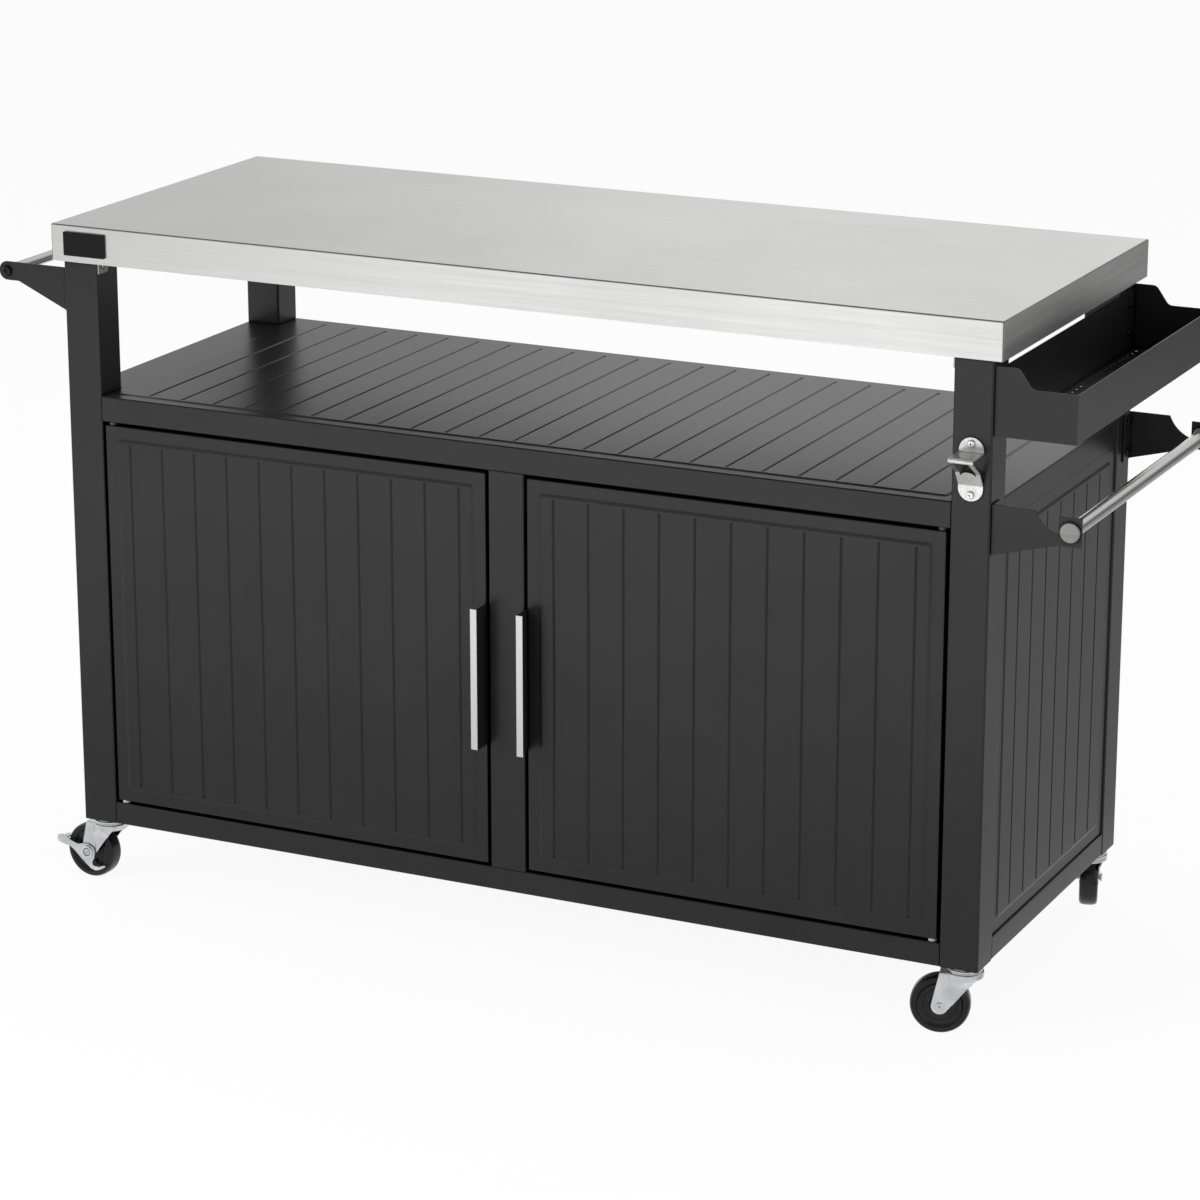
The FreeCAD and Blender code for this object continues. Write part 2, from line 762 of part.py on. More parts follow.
def handle_bracket():
    """The front bracket of the left handle: straight top, round end, foot rising to the tube."""
    radius = handle_end_radius
    top_end = Vector(handle_reach, 0, 0)
    tip = Vector(handle_reach + radius, -radius, 0)
    foot_end = Vector(handle_reach, -2 * radius, 0)
    points = [
        foot_end,
        Vector(handle_foot_reach, -2 * radius, 0),
        Vector(0, -handle_plate_height, 0),
        Vector(0, 0, 0),
        top_end,
    ]
    edges = [Part.makeLine(first, second) for first, second in zip(points, points[1:])]
    edges.append(Part.Arc(top_end, tip, foot_end).toShape())
    origin = Vector(-leg_x, -bracket_face, handle_top)
    arm = plate(Part.Wire(edges), bracket_sheet, origin, X_AXIS * -1, Z_AXIS)
    bracket = arm.fuse(flange(-1, handle_top, handle_plate_height)).removeSplitter()
    axis = [(Vector(handle_x, -bracket_face, handle_z), Y_AXIS * -1)]
    bracket = drilled(bracket, end_screw_radius, axis, bracket_sheet * 2)
    return drilled(bracket, screw_radius, flange_seats(-1, handle_top, handle_plate_height), bracket_sheet)


def handle_tube():
    """The stainless tube between the left brackets, with a threaded insert at each end."""
    half = bracket_face - bracket_sheet
    start = Vector(handle_x, -half, handle_z)
    bar = cylinder(handle_tube_radius, 2 * half, start, Y_AXIS)
    insert = end_screw_length + handle_insert_spare
    hollow_radius = handle_tube_radius - handle_tube_wall
    hollow_start = Vector(handle_x, -half + insert, handle_z)
    bar = bar.cut(cylinder(hollow_radius, 2 * (half - insert), hollow_start, Y_AXIS))
    return bar.cut(cylinder(end_screw_radius, 2 * half, start, Y_AXIS))


def clip_seat():
    """Where the clip's screw sits on the inner face of the front right leg."""
    y = -leg_y + rail_recess + rail_depth / 2
    return Vector(inner_x - clip_sheet, y, head_rail_foot - clip_screw_drop)


def worktop_clip():
    """The zinc angle that ties the front head rail to the front right leg, with its screw."""
    y0 = -leg_y + rail_recess + (rail_depth - clip_width) / 2
    y1 = y0 + clip_width
    upright = box(inner_x - clip_sheet, inner_x, y0, y1, head_rail_foot - clip_drop, head_rail_foot)
    ledge = box(inner_x - clip_lap, inner_x, y0, y1, head_rail_foot - clip_sheet, head_rail_foot)
    angle = upright.fuse(ledge).removeSplitter()
    angle = drilled(angle, screw_radius, [(clip_seat(), X_AXIS * -1)], clip_sheet)
    return [angle, sheet_screw(clip_seat(), X_AXIS * -1)]


def opener_seats():
    """Where the bottle opener is screwed to the front right leg."""
    face = -leg_y - opener_sheet
    foot = opener_top - opener_length
    heights = (opener_top - opener_screw_inset, foot + opener_screw_inset)
    return [(Vector(leg_mid_x, face, z), Y_AXIS * -1) for z in heights]


def bottle_opener():
    """A folded zinc opener: a nose out from the leg, a slope back, and a mouth in the slope."""
    sheet = opener_sheet
    ledge = -opener_flat_top
    soft = opener_soft_bend
    corners = [
        (0, 0, 0),
        (sheet, 0, 0),
        (sheet, ledge, opener_bend),
        (opener_reach, ledge, opener_nose_bend),
        (opener_reach, ledge - opener_nose, opener_nose_bend),
        (opener_knee_reach, -opener_knee_drop, soft),
        (sheet, -opener_foot_drop, opener_bend),
        (sheet, -opener_length, 0),
        (0, -opener_length, 0),
        (0, -opener_foot_drop, opener_bend + sheet),
        (opener_knee_reach - sheet, -opener_knee_drop, soft + sheet),
        (opener_reach - sheet, ledge - opener_nose, opener_nose_bend - sheet),
        (opener_reach - sheet, ledge - sheet, opener_nose_bend - sheet),
        (0, ledge - sheet, opener_bend + sheet),
    ]
    origin = Vector(leg_mid_x + opener_width / 2, -leg_y, opener_top)
    strip = plate(bent_outline(corners), opener_width, origin, Y_AXIS * -1, Z_AXIS)
    front = rounded_outline(opener_width, opener_length, opener_width / 2 - 0.01)
    middle = Vector(leg_mid_x, -leg_y + 1, opener_top - opener_length / 2)
    strip = strip.common(plate(front, opener_reach + 2, middle, X_AXIS, Z_AXIS))
    half = opener_mouth / 2
    mouth_top = ledge - opener_nose
    right_foot = Vector(half, -opener_mouth_drop, 0)
    left_foot = Vector(-half, -opener_mouth_drop, 0)
    peak = Vector(0, opener_arch - opener_mouth_drop, 0)
    sides = [right_foot, Vector(half, mouth_top, 0), Vector(-half, mouth_top, 0), left_foot]
    edges = [Part.makeLine(first, second) for first, second in zip(sides, sides[1:])]
    edges.append(Part.Arc(left_foot, peak, right_foot).toShape())
    mouth_start = Vector(leg_mid_x, -leg_y - 1.5 * sheet, opener_top)
    mouth = plate(Part.Wire(edges), opener_reach, mouth_start, X_AXIS, Z_AXIS)
    return drilled(strip.cut(mouth), screw_radius, opener_seats(), sheet)


def blank_plate():
    """The bare dark plate at the left end of the worktop's front rim."""
    outline = rounded_outline(plate_length, plate_height, plate_radius)
    x = -top_length / 2 + plate_inset + plate_length / 2
    z = top_height - rim_height / 2
    return plate(outline, plate_thickness, Vector(x, -top_depth / 2, z), X_AXIS, Z_AXIS)


def all_seats():
    """Every wall screw's seat and outward direction, tray and opener first."""
    seats = tray_screw_seats() + opener_seats()
    brackets = flange_seats(1, towel_top, towel_plate_height)
    brackets += flange_seats(-1, handle_top, handle_plate_height)
    for point, outward in brackets:
        seats.append((point, outward))
        seats.append((Vector(point.x, -point.y, point.z), outward))
    return seats


def wall_screws():
    """The screws of the tray, opener and brackets, and the two that hold the handle tube."""
    screws = [sheet_screw(point, outward) for point, outward in all_seats()]
    sizes = (end_screw_radius, end_screw_head_radius, end_screw_head_height, end_screw_length)
    for side in (-1, 1):
        point = Vector(handle_x, side * bracket_face, handle_z)
        screws.append(screw(point, Y_AXIS * side, *sizes))
    return screws


def legs_drilled():
    """The four legs with the holes of every screw that enters them."""
    clip = (clip_seat(), X_AXIS * -1)
    shapes = {
        "leg_front_right": leg(),
        "leg_front_left": mirrored_x(leg()),
        "leg_rear_right": mirrored_y(leg()),
        "leg_rear_left": mirrored_x(mirrored_y(leg())),
    }
    for name, shape in shapes.items():
        side = 1 if name.endswith("right") else -1
        end = -1 if "front" in name else 1
        seats = [seat for seat in all_seats() if seat[0].x * side > 0 and seat[0].y * end > 0]
        inner = Vector(side * clip[0].x, -end * clip[0].y, clip[0].z)
        seats.append((inner, X_AXIS * -side))
        shapes[name] = drilled(shape, screw_radius, seats, 2 * screw_radius)
    return shapes


def fork():
    """A caster fork about the swivel axis, its trail along +X: race, crown and two arms."""
    lower = cylinder(race_radius, race_height, Vector(0, 0, race_foot), Z_AXIS)
    neck = cylinder(race_neck_radius, neck_height, Vector(0, 0, race_foot + race_height), Z_AXIS)
    disc = cylinder(race_radius, crown_sheet, Vector(0, 0, crown_height), Z_AXIS)
    half = fork_half + fork_sheet
    bridge = box(0, fork_front, -half, half, crown_height, race_foot)
    arms = [fork_arm(fork_half), fork_arm(-half)]
    body = lower.fuse([neck, disc, bridge] + arms).removeSplitter()
    height = leg_foot - crown_height
    stem_hole = cylinder(stem_radius + running_clearance, height + 2, Vector(0, 0, crown_height - 1), Z_AXIS)
    axle_hole = cylinder(axle_radius, 4 * half, Vector(caster_trail, -2 * half, wheel_radius), Y_AXIS)
    return body.cut(stem_hole).cut(axle_hole)


def fork_arm(offset):
    """One arm of the fork: wide under the crown, tapering to a round end at the axle."""
    centre = Vector(caster_trail, wheel_radius, 0)
    front_top = Vector(fork_front, race_foot, 0)
    knee = Vector(-fork_knee, fork_knee_height, 0)
    back_top = Vector(-fork_back, race_foot, 0)
    front_touch = tangent_point(centre, fork_end_radius, front_top, 1)
    knee_touch = tangent_point(centre, fork_end_radius, knee, -1)
    bottom = centre + ((front_touch + knee_touch) * 0.5 - centre).normalize() * fork_end_radius
    if bottom.y > centre.y:
        bottom = centre - (bottom - centre)
    edges = [
        Part.makeLine(back_top, front_top),
        Part.makeLine(front_top, front_touch),
        Part.Arc(front_touch, bottom, knee_touch).toShape(),
        Part.makeLine(knee_touch, knee),
        Part.makeLine(knee, back_top),
    ]
    return plate(Part.Wire(edges), fork_sheet, Vector(0, offset + fork_sheet, 0), X_AXIS, Z_AXIS)


def tangent_point(centre, radius, outside, side):
    """Where the line from an outside point touches a circle, on the chosen side."""
    reach = outside - centre
    spread = math.acos(radius / reach.Length)
    bearing = math.atan2(reach.y, reach.x) - side * spread
    return centre + Vector(math.cos(bearing), math.sin(bearing), 0) * radius


def caster_stem():
    """The stem of the caster: threaded shank, upper race under the leg, rivet under the crown."""
    foot = crown_height - race_gap - rivet_height
    top = leg_foot + plug_height
    shank = cylinder(stem_radius, top - foot, Vector(0, 0, foot), Z_AXIS)
    race = cylinder(race_neck_radius, race_top, Vector(0, 0, leg_foot - race_top), Z_AXIS)
    rivet = cylinder(rivet_radius, rivet_height, Vector(0, 0, foot), Z_AXIS)
    return shank.fuse([race, rivet]).removeSplitter()


def wheel():
    """A caster wheel on its axle's place: tread with broken edges, recessed web, hub and bore."""
    half = wheel_width / 2
    start = Vector(caster_trail, -half, wheel_radius)
    tread = cylinder(wheel_radius, wheel_width, start, Y_AXIS)
    rims = [edge for edge in tread.Edges if edge.Length > wheel_radius and edge.BoundBox.YLength < 1]
    tread = tread.makeChamfer(tread_chamfer, rims)
    for side in (-1, 1):
        floor = Vector(caster_trail, side * (half - web_recess), wheel_radius)
        ring = cylinder(web_outer, web_recess, floor, Y_AXIS * side)
        ring = ring.cut(cylinder(web_inner, web_recess, floor, Y_AXIS * side))
        tread = tread.cut(ring)
    hub = cylinder(hub_radius, hub_width, Vector(caster_trail, -hub_width / 2, wheel_radius), Y_AXIS)
    bore_start = Vector(caster_trail, -hub_width, wheel_radius)
    bore = cylinder(axle_radius + running_clearance, 2 * hub_width, bore_start, Y_AXIS)
    return tread.fuse(hub).removeSplitter().cut(bore)


def axle():
    """The wheel's bolt, with its head on the side where a brake lever sits and a nut opposite."""
    nut_face = fork_half + fork_sheet
    nut_start = Vector(caster_trail, -nut_face, wheel_radius)
    head_start = Vector(caster_trail, axle_reach, wheel_radius)
    shank = cylinder(axle_radius, axle_reach + nut_face, nut_start, Y_AXIS)
    head = cylinder(axle_head_radius, axle_head_height, head_start, Y_AXIS)
    crown = [edge for edge in head.Edges if edge.BoundBox.YMin > axle_reach + axle_head_height - 1e-3]
    head = head.makeFillet(axle_head_round, crown)
    turns = [math.radians(60 * side) for side in range(6)]
    nut_points = [(math.cos(turn) * axle_head_radius, math.sin(turn) * axle_head_radius) for turn in turns]
    nut = plate(polygon(nut_points), axle_head_height, nut_start, X_AXIS, Z_AXIS)
    return shank.fuse([head, nut]).removeSplitter()


def axle_spacer():
    """The washer that fills the brake lever's place on a caster without a brake."""
    start = Vector(caster_trail, fork_half + fork_sheet, wheel_radius)
    ring = cylinder(axle_head_radius + spacer_lap, axle_reach - fork_half - fork_sheet, start, Y_AXIS)
    return ring.cut(cylinder(axle_radius, wheel_width, start, Y_AXIS))


def brake_lever():
    """The brake lever: a stamped plate on the axle and a pedal across the wheel behind its tread."""
    near = fork_half + fork_sheet + brake_gap
    outline = [(back * wheel_radius, up * wheel_radius) for back, up in brake_outline]
    arm_start = Vector(caster_trail, near + brake_sheet, wheel_radius)
    arm = plate(polygon(outline), brake_sheet, arm_start, X_AXIS, Z_AXIS)
    start = caster_trail + wheel_radius + pedal_gap
    level = wheel_radius + pedal_lift
    far = near + brake_sheet - pedal_width
    pedal = box(start, start + pedal_length, far, near, level, level + brake_sheet)
    corners = [edge for edge in pedal.Edges if edge.BoundBox.XMin > start + pedal_length - 1e-3]
    corners = [edge for edge in corners if edge.BoundBox.ZLength > 1 and edge.BoundBox.YMax < near - 1]
    pedal = pedal.makeFillet(pedal_corner, corners)
    lever = arm.fuse(pedal).removeSplitter()
    bore_start = Vector(caster_trail, 0, wheel_radius)
    return lever.cut(cylinder(axle_radius + running_clearance, 2 * near, bore_start, Y_AXIS))


def at_leg(shape, side, end, angle):
    """Turns a caster piece to its resting angle and sets it under one leg."""
    turn = FreeCAD.Rotation(Z_AXIS, angle)
    copy = shape.copy()
    copy.Placement = FreeCAD.Placement(Vector(side * leg_mid_x, end * leg_mid_y, 0), turn)
    return copy


def four_corners(shape):
    """The same small piece at all four legs, mirrored from the front right one."""
    return [shape, mirrored_x(shape), mirrored_y(shape), mirrored_x(mirrored_y(shape))]


casters = {
    "front_left": (-1, -1, front_left_angle, True),
    "front_right": (1, -1, front_right_angle, False),
    "rear_left": (-1, 1, rear_left_angle, True),
    "rear_right": (1, 1, rear_right_angle, False),
}


def frame_nodes():
    """Every piece of the rigid frame, by node name."""
    front_bottom = bush_holes(long_rail(bottom_rail_height, leg_foot, rail_y))
    front_top = bush_holes(long_rail(top_rail_height, shelf_rail_foot, rail_y))
    bush = hinge_bush()
    clips = [piece for part in worktop_clip() for piece in four_corners(part)]
    nodes = {
        "worktop": worktop(),
        "head_rail_front": long_rail(head_rail_height, head_rail_foot, rail_y),
        "head_rail_rear": mirrored_y(long_rail(head_rail_height, head_rail_foot, rail_y)),
        "worktop_stiffeners": Part.makeCompound([stiffener(), mirrored_x(stiffener())]),
        "worktop_clips": Part.makeCompound(clips),
        "leg_plugs": Part.makeCompound(four_corners(leg_plug())),
        "top_rail_front": front_top,
        "top_rail_rear": mirrored_y(long_rail(top_rail_height, shelf_rail_foot, rail_y)),
        "top_rail_right": side_rail(top_rail_height, shelf_rail_foot),
        "top_rail_left": mirrored_x(side_rail(top_rail_height, shelf_rail_foot)),
        "bottom_rail_front": front_bottom,
        "bottom_rail_rear": mirrored_y(long_rail(bottom_rail_height, leg_foot, rail_y)),
        "bottom_rail_right": side_rail(bottom_rail_height, leg_foot),
        "bottom_rail_left": mirrored_x(side_rail(bottom_rail_height, leg_foot)),
        "centre_post": centre_post(),
        "shelf_panel": shelf_panel(),
        "floor_panel": floor_panel(),
        "side_panel_right": side_panel(),
        "side_panel_left": mirrored_x(side_panel()),
        "back_panel": back_panel(),
        "side_tray": side_tray(),
        "towel_bracket_front": towel_bracket(),
        "towel_bracket_rear": mirrored_y(towel_bracket()),
        "towel_bar": towel_bar(),
        "towel_bar_caps": Part.makeCompound([towel_cap(), mirrored_y(towel_cap())]),
        "handle_bracket_front": handle_bracket(),
        "handle_bracket_rear": mirrored_y(handle_bracket()),
        "handle_tube": handle_tube(),
        "bottle_opener": bottle_opener(),
        "blank_plate": blank_plate(),
        "wall_screws": Part.makeCompound(wall_screws()),
        "magnet_catches": Part.makeCompound([magnet_catch(), mirrored_x(magnet_catch())]),
        "hinge_bushes": Part.makeCompound([bush, mirrored_x(bush), flipped(bush), mirrored_x(flipped(bush))]),
        "caster_stems": Part.makeCompound(
            [at_leg(caster_stem(), side, end, angle) for side, end, angle, braked in casters.values()]
        ),
    }
    nodes.update(legs_drilled())
    return nodes


def door_nodes():
    """The pieces of both doors."""
    pins = Part.makeCompound([hinge_pin(), flipped(hinge_pin())])
    right = {"door": door_panel(), "door_pull": door_pull(), "pull_strip": pull_strip(), "door_pins": pins}
    nodes = {"right_" + name: shape for name, shape in right.items()}
    nodes.update({"left_" + name: mirrored_x(shape) for name, shape in right.items()})
    return nodes


def caster_nodes():
    """The fork, wheel and axle of each caster, and the levers of the braked ones."""
    nodes = {}
    for name, (side, end, angle, braked) in casters.items():
        nodes["fork_" + name] = at_leg(fork(), side, end, angle)
        nodes["wheel_" + name] = at_leg(wheel(), side, end, angle)
        bolt = axle() if braked else Part.makeCompound([axle(), axle_spacer()])
        nodes["axle_" + name] = at_leg(bolt, side, end, angle)
        if braked:
            nodes["brake_" + name] = at_leg(brake_lever(), side, end, angle)
    return nodes


def cart():
    """All nodes about the middle of the legs, and the shift to the bounding box's bottom centre."""
    nodes = frame_nodes()
    nodes.update(door_nodes())
    nodes.update(caster_nodes())
    whole = Part.makeCompound(list(nodes.values())).optimalBoundingBox(False, False)
    shift = Vector(-(whole.XMin + whole.XMax) / 2, -(whole.YMin + whole.YMax) / 2, -whole.ZMin)
    return nodes, shift


nodes, shift = cart()
os.makedirs("parts", exist_ok=True)
for name, shape in nodes.items():
    shape.translated(shift).exportStep("parts/" + name + ".step")
print(len(nodes), "nodes, shifted by", [round(value, 3) for value in shift])
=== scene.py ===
"""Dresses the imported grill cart: finishes, the casters' finer pieces, soft edges, camera and light."""
import json
import math

import bmesh
import bpy
from mathutils import Matrix, Vector


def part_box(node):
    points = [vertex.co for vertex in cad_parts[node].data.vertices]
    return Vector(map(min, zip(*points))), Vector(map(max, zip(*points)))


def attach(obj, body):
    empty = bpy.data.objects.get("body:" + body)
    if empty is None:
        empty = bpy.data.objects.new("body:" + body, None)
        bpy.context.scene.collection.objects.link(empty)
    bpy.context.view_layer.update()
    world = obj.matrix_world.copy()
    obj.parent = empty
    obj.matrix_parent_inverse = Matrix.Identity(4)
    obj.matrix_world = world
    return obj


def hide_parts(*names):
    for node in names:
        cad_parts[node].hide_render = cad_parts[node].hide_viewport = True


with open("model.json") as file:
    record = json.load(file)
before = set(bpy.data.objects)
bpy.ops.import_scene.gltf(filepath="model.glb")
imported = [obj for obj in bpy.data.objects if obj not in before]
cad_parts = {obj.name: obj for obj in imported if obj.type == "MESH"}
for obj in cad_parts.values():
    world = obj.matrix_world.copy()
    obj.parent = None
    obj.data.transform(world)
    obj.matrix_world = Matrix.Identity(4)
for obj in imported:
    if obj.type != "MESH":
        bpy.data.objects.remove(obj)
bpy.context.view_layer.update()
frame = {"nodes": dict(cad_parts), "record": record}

# Camera, in metres and radians, measured from the middle of the legs on the floor
IMAGE_SIZE = 1200
CAMERA_PLACE = Vector((2.235, -4.60, 1.95))
CAMERA_TURN = 0.451
CAMERA_TILT = 0.2925
CAMERA_FOCAL_PIXELS = 4090
SENSOR_WIDTH = 36.0
CLIP_NEAR = 0.1
CLIP_FAR = 100

SLOT_OF = {row["node"]: row["material_slot"] for row in frame["record"]["subparts"]}


def legs_middle():
    """The point on the floor midway between the four legs."""
    near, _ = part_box("leg_front_left")
    _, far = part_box("leg_rear_right")
    return Vector(((near.x + far.x) / 2, (near.y + far.y) / 2, 0))


MIDDLE = legs_middle()


def add_camera():
    """The photograph's viewpoint."""
    data = bpy.data.cameras.new("camera")
    data.sensor_width = SENSOR_WIDTH
    data.lens = CAMERA_FOCAL_PIXELS / IMAGE_SIZE * SENSOR_WIDTH
    data.clip_start = CLIP_NEAR
    data.clip_end = CLIP_FAR
    camera = bpy.data.objects.new("camera", data)
    bpy.context.scene.collection.objects.link(camera)
    right = Vector((math.cos(CAMERA_TURN), math.sin(CAMERA_TURN), 0))
    ahead = Vector((-math.sin(CAMERA_TURN) * math.cos(CAMERA_TILT),
                    math.cos(CAMERA_TURN) * math.cos(CAMERA_TILT),
                    -math.sin(CAMERA_TILT)))
    up = right.cross(ahead)
    turn = Matrix((right, up, -ahead)).transposed().to_4x4()
    camera.matrix_world = Matrix.Translation(MIDDLE + CAMERA_PLACE) @ turn
    bpy.context.scene.camera = camera


class Nodes:
    """The node tree of a material or of the world, with short calls to add and link nodes."""

    def __init__(self, owner, output="ShaderNodeOutputMaterial"):
        self.owner = owner
        owner.use_nodes = True
        self.tree = owner.node_tree
        self.tree.nodes.clear()
        self.output = self.add(output)

    def add(self, kind, inputs=None, **settings):
        """A node with the given settings; inputs maps its sockets to values or to other sockets."""
        node = self.tree.nodes.new(kind)
        for key, value in settings.items():
            setattr(node, key, value)
        for key, value in (inputs or {}).items():
            if isinstance(value, bpy.types.NodeSocket):
                self.tree.links.new(value, node.inputs[key])
            else:
                node.inputs[key].default_value = value
        return node

    def surface(self, shader):
        """Ends the tree in a shader, and gives back its material or world."""
        self.tree.links.new(shader.outputs[0], self.output.inputs["Surface"])
        return self.owner

    def principled(self, inputs):
        """Ends the tree in the principled shader."""
        return self.surface(self.add("ShaderNodeBsdfPrincipled", inputs))

    def compute(self, operation, *values):
        """The result of a sum or comparison of up to two values."""
        return self.add("ShaderNodeMath", dict(enumerate(values)), operation=operation).outputs[0]

    def place(self, scale):
        """Object coordinates stretched by a scale along each axis."""
        where = self.add("ShaderNodeTexCoord").outputs["Object"]
        return self.add("ShaderNodeMapping", {"Vector": where, "Scale": scale}).outputs["Vector"]

    def crevice(self, reach):
        """How open the surface is to its surroundings within a reach: 1 in the open, 0 deep in a gap."""
        return self.add("ShaderNodeAmbientOcclusion", {"Distance": reach}, samples=8).outputs["AO"]

    def noise(self, scale, detail=2.0, stretch=(1, 1, 1), roughness=0.5):
        """A noise value with the given scale per metre."""
        inputs = {"Vector": self.place(stretch), "Scale": scale, "Detail": detail, "Roughness": roughness}
        return self.add("ShaderNodeTexNoise", inputs).outputs["Fac"]

    def spread(self, value, low=0, high=1, start=0.3, end=0.7):
        """Maps a value between start and end onto the range from low to high."""
        inputs = {"Value": value, "From Min": start, "From Max": end, "To Min": low, "To Max": high}
        return self.add("ShaderNodeMapRange", inputs).outputs["Result"]

    def faces_x(self, least=0.7):
        """1 where the surface faces along X, else 0."""
        normal = self.add("ShaderNodeTexCoord").outputs["Normal"]
        across = self.add("ShaderNodeSeparateXYZ", {0: normal}).outputs["X"]
        return self.compute("GREATER_THAN", self.compute("ABSOLUTE", across), least)

    def blend(self, share, first, second):
        """A value between two others."""
        inputs = {"Factor": share, "A": first, "B": second}
        return self.add("ShaderNodeMix", inputs, data_type="FLOAT").outputs["Result"]

    def tint(self, share, dark, light):
        """A colour between two, each given as a triple or a socket."""
        inputs = {"Factor": share}
        for key, colour in (("A", dark), ("B", light)):
            inputs[key] = (*colour, 1) if isinstance(colour, tuple) else colour
        return self.add("ShaderNodeMix", inputs, data_type="RGBA").outputs["Result"]

    def bump(self, height, distance, normal=None):
        """A bump of a real height in metres, on top of another bump where one is given."""
        inputs = {"Height": height, "Distance": distance, "Strength": 1.0}
        if normal:
            inputs["Normal"] = normal
        return self.add("ShaderNodeBump", inputs).outputs["Normal"]


def material_nodes(name):
    """The empty node tree of a new material."""
    return Nodes(bpy.data.materials.new(name))


def grey(level):
    """A neutral colour."""
    return (level, level, level)


def powder_coat():
    """Dark grey powder coat: fine grain, faint orange peel, faint cloudiness, and painted shade that makes
    its gaps and corners darker and duller.
    """
    tree = material_nodes("powder_coat")
    grain = tree.noise(scale=2600, detail=1)
    peel = tree.noise(scale=420)
    cloud = tree.noise(scale=9, detail=4)
    coat = tree.tint(tree.spread(cloud), dark=grey(0.0092), light=(0.0120, 0.0120, 0.0118))
    # Painted shade: the coat turns darker and less glossy where ambient occlusion finds a gap or corner
    crevice_shade = tree.spread(tree.crevice(reach=0.006), start=0.45, end=0.95)
    fine = tree.bump(grain, distance=0.00002)
    return tree.principled({
        "Base Color": tree.tint(crevice_shade, dark=grey(0.0015), light=coat),
        "Roughness": tree.spread(grain, low=0.27, high=0.37),
        "Specular IOR Level": tree.spread(crevice_shade, low=0.04, high=0.32, start=0, end=1),
        "Normal": tree.bump(peel, distance=0.00003, normal=fine),
    })


# A scratch is as bright as the sheet times this
SCRATCH_SHADE = 0.90


def brushed(name, colour, stretch, roughness, scratch, end_stretch=None):
    """Steel with fine scratches drawn out along one axis, and along another on its ends in X."""
    tree = material_nodes(name)
    on_end = tree.faces_x() if end_stretch else None

    def scratches(**settings):
        """Noise drawn out along the sheet, and turned on its ends."""
        along = tree.noise(stretch=stretch, **settings)
        if not end_stretch:
            return along
        return tree.blend(on_end, along, tree.noise(stretch=end_stretch, **settings))

    fine = scratches(scale=900, detail=3, roughness=0.6)
    broad = scratches(scale=160, detail=2)
    smudge = tree.spread(tree.noise(scale=6), high=0.05)
    dark = tuple(channel * SCRATCH_SHADE for channel in colour)
    return tree.principled({
        "Base Color": tree.tint(tree.spread(fine), dark, colour),
        "Metallic": 1.0,
        "Roughness": tree.compute("ADD", tree.spread(broad, *roughness), smudge),
        "Normal": tree.bump(fine, distance=scratch),
    })


def zinc(name, dark, light, metallic=1.0):
    """Plated steel with a faint mottle, and painted shade that darkens it where it is boxed in."""
    tree = material_nodes(name)
    mottle = tree.noise(scale=260, detail=3)
    plating = tree.tint(tree.spread(tree.noise(scale=45)), dark, light)
    # Painted shade: the plating turns near black where ambient occlusion finds a recess
    crevice_shade = tree.spread(tree.crevice(reach=0.0035), start=0.20, end=0.85)
    return tree.principled({
        "Base Color": tree.tint(crevice_shade, dark=grey(0.03), light=plating),
        "Metallic": metallic,
        "Roughness": tree.spread(mottle, low=0.18, high=0.32),
        "Normal": tree.bump(mottle, distance=0.00002),
    })


def plastic(name, dark, light, roughness, specular=0.5):
    """Moulded plastic with a fine spark-eroded texture."""
    tree = material_nodes(name)
    grain = tree.noise(scale=3200, detail=1)
    return tree.principled({
        "Base Color": tree.tint(tree.spread(tree.noise(scale=60)), dark, light),
        "Roughness": tree.spread(grain, *roughness),
        "Specular IOR Level": specular,
        "Normal": tree.bump(grain, distance=0.00002),
    })


# Scratches are noise drawn out along one axis
DRAWN_OUT = 0.012
ALONG_X = (DRAWN_OUT, 1, 1)
ALONG_Y = (1, DRAWN_OUT, 1)
ALONG_Z = (1, 1, DRAWN_OUT)
STEEL = (0.58, 0.58, 0.575)
BLACK = (grey(0.003), grey(0.005))

FINISH = {
    "powder_coat": powder_coat(),
    "stainless": brushed("stainless", STEEL, ALONG_X, roughness=(0.28, 0.34), scratch=0.0000025,
                         end_stretch=ALONG_Y),
    "zinc": zinc("zinc", dark=(0.56, 0.57, 0.58), light=(0.74, 0.75, 0.755)),
    "wheel_plastic": plastic("wheel_plastic", *BLACK, roughness=(0.20, 0.30), specular=0.35),
    "black_plastic": plastic("black_plastic", *BLACK, roughness=(0.24, 0.34), specular=0.15),
    "nylon": plastic("nylon", dark=(0.46, 0.46, 0.45), light=(0.55, 0.55, 0.53), roughness=(0.4, 0.5)),
}
TUBE_STEEL = brushed("tube_steel", (0.46, 0.46, 0.455), ALONG_Y, roughness=(0.16, 0.24), scratch=0.000003)
STRIP_STEEL = brushed("strip_steel", STEEL, ALONG_Z, roughness=(0.24, 0.34), scratch=0.000004)
# Painted shade: a darker copy of the worktop's steel for its rounded fold, standing in for the dark line
# along it
FOLD_SHADE_STEEL = brushed("fold_shade_steel", (0.22, 0.22, 0.217), ALONG_X, roughness=(0.50, 0.60), scratch=0.000002)
# Painted shade: a darker copy of steel for the towel bar's end caps
CAP_SHADE_STEEL = brushed("cap_shade_steel", (0.25, 0.25, 0.247), ALONG_X, roughness=(0.34, 0.44), scratch=0.000006)
BLACK_ZINC = zinc("black_zinc", dark=grey(0.020), light=grey(0.035))
DULL_PLATE = zinc("dull_plate", dark=(0.42, 0.42, 0.41), light=(0.56, 0.56, 0.55), metallic=0.72)
